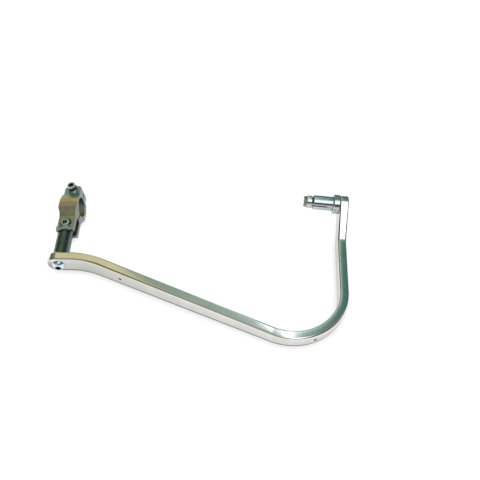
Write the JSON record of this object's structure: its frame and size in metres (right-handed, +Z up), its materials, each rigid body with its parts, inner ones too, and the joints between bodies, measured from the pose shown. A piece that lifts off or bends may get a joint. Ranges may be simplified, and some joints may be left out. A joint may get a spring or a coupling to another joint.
{
  "type": "motorcycle hand guard",
  "caption": "Bent flat-bar hand guard for a motorcycle handlebar, with a split clamp on a stand-off tube at the inner end and an expanding plug for the open bar end.",
  "frame": {"origin": "centre of the handlebar clamp's bore", "axes": "+X outboard along the bar-end plug and the grip, the bar bows out to the front on the -Y side, +Z up"},
  "size_m": [0.331, 0.1835, 0.0485],
  "materials": {
    "bar": "tumbled satin",
    "dark_tube": "dark anodised satin",
    "clamp": "machined satin",
    "bright_steel": "bright zinc plate",
    "plug": "turned bright",
    "plate": "dull plate"
  },
  "bodies": {
    "root": {"guard_bar": "bar", "bar_bolt": "bright_steel", "standoff_tube": "dark_tube", "clamp_upper": "clamp", "clamp_lower": "clamp", "near_screw": "bright_steel", "far_screw": "bright_steel", "far_washer": "bright_steel", "near_nut": "bright_steel", "far_nut": "bright_steel", "end_bolt": "bright_steel", "end_collar": "plug", "expander_sleeve": "plug", "cone_nut": "plug", "lock_plate": "plate"}
  },
  "joints": []
}
